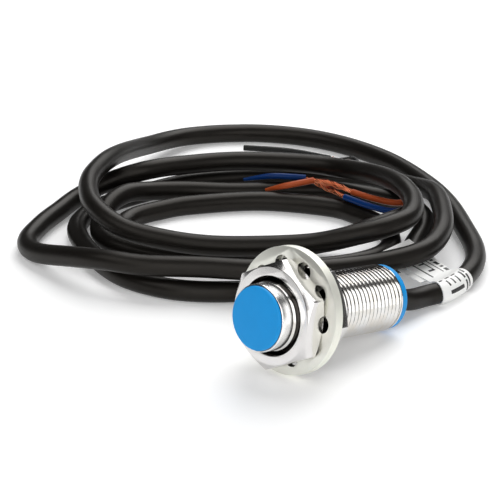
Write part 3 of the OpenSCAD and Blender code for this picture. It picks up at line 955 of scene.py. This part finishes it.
@dataclass
class FlagLabel:
    """Film label: a wrap round the cable and a tab of two layers that runs up under the next turn."""

    route: SmoothRoute
    wrap_r: float = 2.14 * MM
    film: float = 0.16 * MM
    first: int = 42
    last: int = 54
    tab_end: tuple = ((-15.1, 16.7, 4.6), (-15.4, 25.7, 4.6))
    seam: float = 150.0
    fillet: tuple = ((112.0, 0.0), (132.0, 0.12), (150.0, 0.5))
    spans: tuple = (0.1, 0.25, 0.45, 0.7, 1.0)
    under: tuple = (-1.3, -0.3)
    sides: int = 48
    wrap_bars: tuple = ((2.9, 6.9, 4, 20), (6.2, 6.6, 38, 70), (4.8, 5.2, 38, 70), (3.4, 3.8, 34, 70),
                        (1.5, 2.05, -20, 30), (1.5, 2.05, 40, 85), (0.6, 1.1, -10, 55), (0.6, 1.1, 64, 95),
                        (6.8, 7.7, 80, 90), (4.7, 5.9, 80, 90), (2.9, 4.0, 80, 90))
    tab_bars: tuple = ((1.4, 11.6, 1.6, 1.95), (3.4, 9.8, 3.9, 4.22), (3.4, 4.0, 2.7, 3.9),
                       (6.3, 6.75, 2.7, 3.9), (8.0, 9.8, 2.7, 3.02), (2.2, 3.3, 5.9, 6.7),
                       (3.8, 4.4, 5.9, 6.7), (4.9, 6.2, 5.9, 6.7), (6.7, 7.3, 5.9, 6.7),
                       (7.8, 8.9, 5.9, 6.7), (9.4, 10.0, 5.9, 6.7), (10.5, 11.4, 5.9, 6.7),
                       (2.2, 9.0, 5.0, 5.25))

    @property
    def outside(self) -> float:
        """Radius of the wrap's outside."""
        return self.wrap_r + self.film / 2

    def columns(self, line: Line) -> list[list[Vector]]:
        """Lays out the tab.

        Args:
            line: centre line of the wrap.

        Returns:
            Rows of points across the tab, from the wrap to the tab's end.
        """
        count = range(len(line))
        first, second = map(on_floor, self.tab_end)
        rows = []
        for angle, lift in self.fillet:
            reach = self.outside + lift * MM
            rows.append([around(line, i, reach, math.radians(angle)) for i in count])
        ends = [first.lerp(second, i / (len(line) - 1)) for i in count]
        return rows + [[a.lerp(b, span) for a, b in zip(rows[-1], ends)] for span in self.spans]

    def draw_sheet(self, bm: Shape, rows: Sequence[Line], shift: Vector) -> None:
        """Draws one layer of the tab.

        Args:
            bm: the bmesh to draw in.
            rows: points of the layer.
            shift: its place off those points.
        """
        verts = [bm.verts.new(point + shift) for point in rows[0]]
        edges = [bm.edges.new(pair) for pair in zip(verts, verts[1:])]
        faces = []
        for row in rows[1:]:
            made = bmesh.ops.extrude_edge_only(bm, edges=edges)["geom"]
            fresh = [g for g in made if isinstance(g, bmesh.types.BMVert)]
            near = {v: [e.other_vert(v) for e in v.link_edges] for v in fresh}
            before = {v: next(u for u in near[v] if u in verts) for v in fresh}
            verts = sorted(fresh, key=lambda v: verts.index(before[v]))
            for vert, point in zip(verts, row):
                vert.co = point + shift
            drawn = [g for g in made if isinstance(g, bmesh.types.BMEdge)]
            edges = [e for e in drawn if all(v in verts for v in e.verts)]
            faces += [g for g in made if isinstance(g, bmesh.types.BMFace)]
        bmesh.ops.recalc_face_normals(bm, faces=faces)
        bmesh.ops.solidify(bm, geom=faces, thickness=self.film)

    def finish(self, line: Line) -> LabelFilm:
        """Places the print.

        Args:
            line: centre line of the wrap.

        Returns:
            The film with its two printed areas.
        """
        back = (line[0] - line[-1]).normalized()
        wrap = square_frame(line[-1], back, UP.cross(back).normalized())
        near = around(line, 0, self.outside, math.radians(self.seam))
        out = (on_floor(self.tab_end[0]) - near).normalized()
        tab = square_frame(near, out, UP.cross(-out).normalized())
        areas = (PrintArea(wrap, self.wrap_bars, True), PrintArea(tab, self.tab_bars))
        return LabelFilm("label_film", areas)

    def build(self) -> Piece:
        """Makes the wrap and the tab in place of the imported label.

        Returns:
            The label.
        """
        line = self.route.sample(SPAN_STEPS)[self.first:self.last + 1]
        bm = bmesh.new()
        outer = sleeve(bm, line, self.outside, self.sides)
        inner = sleeve(bm, line, self.outside - self.film, self.sides)
        for end in (0, -1):
            bmesh.ops.bridge_loops(bm, edges=outer[end] + inner[end])
        rows = self.columns(line)
        self.draw_sheet(bm, rows, Vector())
        along, drop = self.under
        run = (line[-1] - line[0]).normalized()
        self.draw_sheet(bm, rows[len(self.fillet):], along * MM * run + drop * MM * UP)
        mesh = close_mesh(bm, "flag_label", Matrix.Identity(4))
        return add_piece(mesh, "paper", self.finish(line), ["cable_label"])


@dataclass
class StrippedCore:
    """One core of the cable: insulation, bare strands and the slug of insulation left on its tip."""

    colour: CoreColour
    seat: float
    stations: tuple
    bare: tuple
    slug: tuple
    radius: float = 0.65 * MM
    conductor_r: float = 0.3 * MM
    wire_r: float = 0.105 * MM
    wire_sides: int = 2
    wires: int = 8
    twist: float = 1.5
    tip_taper: float = 0.55
    bed: float = 0.3
    stray: tuple = (0.5, 0.12, 0.12)
    spread: float = 2.3
    seat_share: float = 0.5

    def build(self, end: Vector, ahead: Vector, cable_r: float) -> None:
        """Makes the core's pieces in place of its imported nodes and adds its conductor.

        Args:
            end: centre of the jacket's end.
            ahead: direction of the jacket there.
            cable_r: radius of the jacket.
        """
        name = self.colour.value
        coloured = (f"{name}_core", CORE_FINISH[self.colour])
        side = ahead.cross(UP).normalized()
        turn_angle = math.radians(self.seat)
        off = self.seat_share * cable_r * (math.cos(turn_angle) * side + math.sin(turn_angle) * UP)
        seat = end + off
        insulated = [seat, seat + 2 * self.radius * ahead, *map(on_floor, self.stations)]
        tip = list(map(on_floor, self.slug))
        stripped = [insulated[-1], *map(on_floor, self.bare), tip[0]]
        whole = SmoothRoute([*insulated, *stripped[1:], *tip[1:]], self.radius)
        curve = SmoothRoute(insulated, self.radius).curve(f"insulation_{name}", self.radius)
        core = add_piece(curve, *coloured, [f"core_{name}"])
        curve = SmoothRoute(tip, self.radius).curve(f"tip_{name}", self.radius)
        curve.splines[0].bezier_points[-1].radius = self.tip_taper
        slug = add_piece(curve, *coloured, [f"slug_{name}"])
        curve = self.lay_wires(SmoothRoute(stripped, self.radius))
        wires = add_piece(curve, "copper", COPPER, [f"strands_{name}"])
        conductor = add_piece(whole.curve(f"conductor_{name}", self.conductor_r), "copper", COPPER)
        whole.length()

    def lay_wires(self, route: SmoothRoute) -> bpy.types.Curve:
        """Twists fine wires round the bare stretch.

        Args:
            route: line of the bare stretch.

        Returns:
            A curve with one spline for each wire.
        """
        data = round_curve(f"wires_{self.colour.value}", self.wire_r, self.wire_sides)
        line = route.sample(SPAN_STEPS)
        last = len(line) - 1
        for wire in range(self.wires):
            spline = data.splines.new("POLY")
            spline.points.add(last)
            stray = self.stray[wire % len(self.stray)] * (1.0 + math.sin(self.spread * wire))
            for i in range(len(line)):
                turn_angle = 2 * math.pi * (wire / self.wires + self.twist * i / len(line))
                loose = 1.0 + stray * math.sin(math.pi * i / last)
                reach = (self.conductor_r + self.bed * self.wire_r) * loose
                spline.points[i].co = (*around(line, i, reach, -turn_angle), 1.0)
        return data


@dataclass
class Cable:
    """The black cable from the plug through its loops to the three stripped cores."""

    radius: float = 2.0 * MM

    def cores(self) -> list[StrippedCore]:
        """Sets out the cores.

        Returns:
            The three cores with their routes.
        """
        brown = StrippedCore(CoreColour.BROWN, 60.0,
                             ((-22.9, 35.8, 7.3), (-27, 35, 6.1), (-32, 34.5, 5.7), (-37.7, 34.1, 5.7)),
                             ((-42.5, 34, 6.1),),
                             ((-47, 32.7, 6.1), (-50.6, 27.9, 5.2), (-54.8, 26.6, 3.5)))
        blue = StrippedCore(CoreColour.BLUE, 180.0,
                            ((-23.8, 34, 5.6), (-26.8, 32.8, 5.1), (-31.9, 32.4, 4.9), (-38.3, 32.5, 4.9)),
                            ((-43, 33.4, 5), (-47, 34.4, 4.8)),
                            ((-51.5, 35, 4.8), (-56.3, 30, 5.2), (-61.6, 27, 3.8)))
        black = StrippedCore(CoreColour.BLACK, 300.0,
                             ((-22.2, 37, 5.3), (-27, 40, 4.9), (-33, 42.5, 4.9), (-39.5, 45, 4.7),
                             (-45.5, 46.5, 4.9), (-51, 49.5, 5), (-56, 53.3, 2.6), (-60, 54.6, 0.9)),
                             ((-61, 54.5, 0.9),),
                             ((-62.5, 54.5, 0.9), (-72, 51.5, 0.9), (-80.5, 46, 0.9)),
                             tip_taper=1.0)
        return [brown, blue, black]

    def build(self) -> None:
        lead = [EXIT, *map(on_floor, LEAD_STATIONS)]
        route = SmoothRoute([*lead, *map(on_floor, COIL_STATIONS)], self.radius)
        curve = route.curve("cable_jacket", self.radius, sides=6)
        jacket = add_piece(curve, "jacket", JACKET, ["cable_lead", "cable_coil"])
        label = FlagLabel(route).build()
        route.length()
        end = route.points[-1]
        ahead = (end - route.sample(2)[-2]).normalized()
        for core in self.cores():
            core.build(end, ahead, self.radius)


class Inside:
    """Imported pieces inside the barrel, which keep their shapes and get finishes."""

    finishes = {
        "ferrite_core": FERRITE, "coil_bobbin": BOBBIN, "sensing_coil": COPPER, "coil_leads": COPPER,
        "circuit_board": BOARD, "oscillator_ic": CHIP, "output_transistor": CHIP,
        "chip_capacitors": CERAMIC, "chip_resistors": CHIP, "indicator_led": LENS,
        "inner_lead_brown": BROWN, "inner_lead_blue": BLUE, "inner_lead_black": BLACK,
        "strain_collar": CRIMP, "cable_tail": JACKET,
    }

    def dress(self) -> None:
        """Gives each inner node its material."""
        for node, finish in self.finishes.items():
            data = frame["nodes"][node].data
            data.materials.clear()
            data.materials.append(Paint.of(finish))
            LOG.info("%s keeps its packed shape", node)


@dataclass(frozen=True)
class Softbox:
    """Lamp with an even face; bearing is from the sensor's rear towards its right, in degrees."""

    name: str
    bearing: float
    height: float
    width: float
    tall: float
    power: float


@dataclass(frozen=True)
class Card:
    """Black or white patch of the room that the metal mirrors; its angles are in degrees."""

    bearing: float
    height: float
    reach: float
    fade: float
    level: float = 0.02


def compass(bearing: float, height: float) -> Vector:
    """Direction at a bearing from the sensor's rear and a height above the floor, in degrees."""
    turned = Euler((math.radians(height), 0.0, -math.radians(bearing))).to_matrix()
    return turned.col[1].copy()


@dataclass(frozen=True)
class Studio:
    """Camera, white floor, softboxes and a pale room."""

    eye: tuple = (0.208655, -0.228525, 0.153833)
    yaw: float = 44.6647
    tilt: float = 66.5724
    lens: float = 141.96
    sensor: float = 36.0
    floor_size: float = 6.0
    floor_colour: float = 0.92
    floor_rough: float = 0.9
    floor_glow: float = 0.22
    aim: tuple = (-0.01, 0.02, 0.005)
    reach: float = 0.9
    room: float = 0.10
    boxes: tuple = (Softbox("back", -25.0, 54.0, 0.75, 1.05, 8.2),
                    Softbox("front_high", -163.0, 47.0, 0.6, 0.52, 1.6),
                    Softbox("front", 140.0, 24.0, 0.8, 0.8, 3.5))
    cards: tuple = (Card(75.0, 16.0, 24.0, 38.0, 0.65), Card(-128.0, 38.0, 22.0, 40.0),
                    Card(-45.0, 8.0, 18.0, 26.0), Card(13.0, 31.0, 8.0, 12.0), Card(40.0, 11.0, 8.0, 12.0))

    def place_camera(self) -> None:
        """Sets the camera at the photograph's viewing angle."""
        data = bpy.data.cameras.new("photo_camera")
        data.sensor_width = self.sensor
        data.lens = self.lens
        data.clip_start = 0.01
        camera = put(data)
        camera.location = self.eye
        camera.rotation_euler = (math.radians(self.tilt), 0.0, math.radians(self.yaw))
        bpy.context.scene.camera = camera

    def lay_floor(self) -> None:
        """Lays a white floor that keeps the object's shadow."""
        bm = bmesh.new()
        bmesh.ops.create_grid(bm, x_segments=1, y_segments=1, size=self.floor_size / 2)
        mesh = bpy.data.meshes.new("floor")
        bm.to_mesh(mesh)
        bm.free()
        shading = Shading("white_floor")
        white = (1.0, 1.0, 1.0, 1.0)
        base = (*[self.floor_colour] * 3, 1.0)
        shading.set(Roughness=self.floor_rough, Base_Color=base, Emission_Color=white)
        path = shading.node("ShaderNodeLightPath").outputs
        seen = shading.math("MAXIMUM", path["Is Camera Ray"], path["Is Glossy Ray"])
        seen = shading.math("MAXIMUM", seen, path["Is Transmission Ray"])
        shading.link(shading.math("MULTIPLY", seen, self.floor_glow), "Emission Strength")
        mesh.materials.append(shading.material)
        floor = put(mesh)

    def hang(self, box: Softbox) -> None:
        """Hangs a softbox that looks at the sensor.

        Args:
            box: the softbox.
        """
        data = bpy.data.lights.new(box.name, "AREA")
        data.shape = "RECTANGLE"
        data.size = box.width
        data.size_y = box.tall
        data.energy = box.power
        lamp = put(data)
        towards = compass(box.bearing, box.height)
        lamp.location = Vector(self.aim) + self.reach * towards
        lamp.rotation_euler = towards.to_track_quat("Z", "Y").to_euler()

    def light(self) -> None:
        """Sets the pale room with its cards, and the softboxes."""
        world = bpy.data.worlds.new("pale_room")
        world.use_nodes = True
        nodes = Nodes(world.node_tree)
        direction = nodes.node("ShaderNodeTexCoord").outputs["Generated"]
        level = self.room
        for card in self.cards:
            facing = nodes.dot(direction, compass(card.bearing, card.height))
            limits = [math.cos(math.radians(angle)) for angle in (card.fade, card.reach)]
            level = nodes.span(facing, level, card.level, *limits, interpolation_type="SMOOTHSTEP")
        background = nodes.tree.nodes["Background"]
        background.inputs["Color"].default_value = (1.0, 1.0, 1.0, 1.0)
        nodes.tree.links.new(level, background.inputs["Strength"])
        bpy.context.scene.world = world
        for box in self.boxes:
            self.hang(box)

    def build(self) -> None:
        """Sets up everything but the camera."""
        self.lay_floor()
        self.light()
        bpy.context.scene.view_settings.view_transform = "Standard"


def main() -> None:
    """Builds the camera, the cable, the sensor and the studio."""
    logging.basicConfig(level=logging.INFO, format="%(message)s")
    studio = Studio()
    studio.place_camera()
    Cable().build()
    Barrel().build()
    FaceCap().build()
    RearPlug().build()
    metal = (
        ("front_nut", "front_jam_nut", Body.FRONT_NUT, "nickel_brass", NUT_NICKEL, 0.09 * MM),
        ("rear_nut", "rear_jam_nut", Body.REAR_NUT, "nickel_brass", REAR_NUT_NICKEL, 0.09 * MM),
        ("front_washer", "front_lock_washer", Body.FRONT_WASHER, "zinc_steel", ZINC, 0.1 * MM),
        ("rear_washer", "rear_lock_washer", Body.REAR_WASHER, "zinc_steel", ZINC, 0.1 * MM),
    )
    for piece in metal:
        SoftEdged(*piece).build()
    Inside().dress()
    studio.build()


if __name__ == "__main__":
    main()
